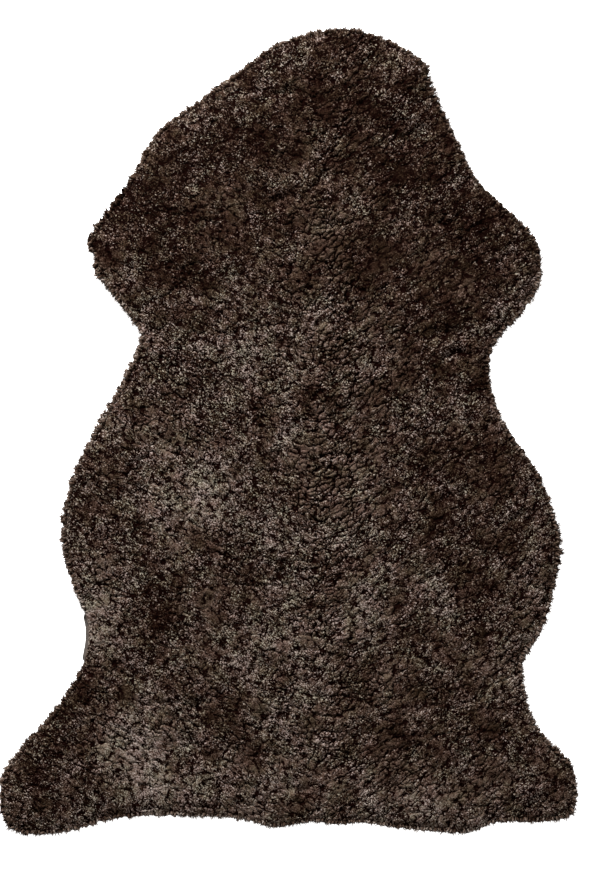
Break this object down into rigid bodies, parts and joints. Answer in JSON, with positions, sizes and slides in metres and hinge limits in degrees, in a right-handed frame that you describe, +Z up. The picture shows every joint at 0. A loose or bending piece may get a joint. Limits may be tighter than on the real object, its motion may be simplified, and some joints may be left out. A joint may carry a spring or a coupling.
{
  "type": "sheepskin rug",
  "caption": "Whole sheepskin laid flat as a floor rug: curly clipped dark brown fleece on a thin hide, with head end, forelegs and spread hind feet.",
  "frame": {"origin": "on the floor below the middle of the pelt's bounding box", "axes": "+Y towards the head end, +X to the pelt's right as seen from above with the head up, +Z up out of the wool"},
  "size_m": [0.6138, 0.854, 0.0218],
  "materials": {
    "wool": "tight curly dark brown wool, soft and matt, paler at the tips",
    "leather": "matt dark brown suede, the bare side of the hide"
  },
  "bodies": {
    "root": {"sheepskin": "wool"}
  },
  "joints": []
}
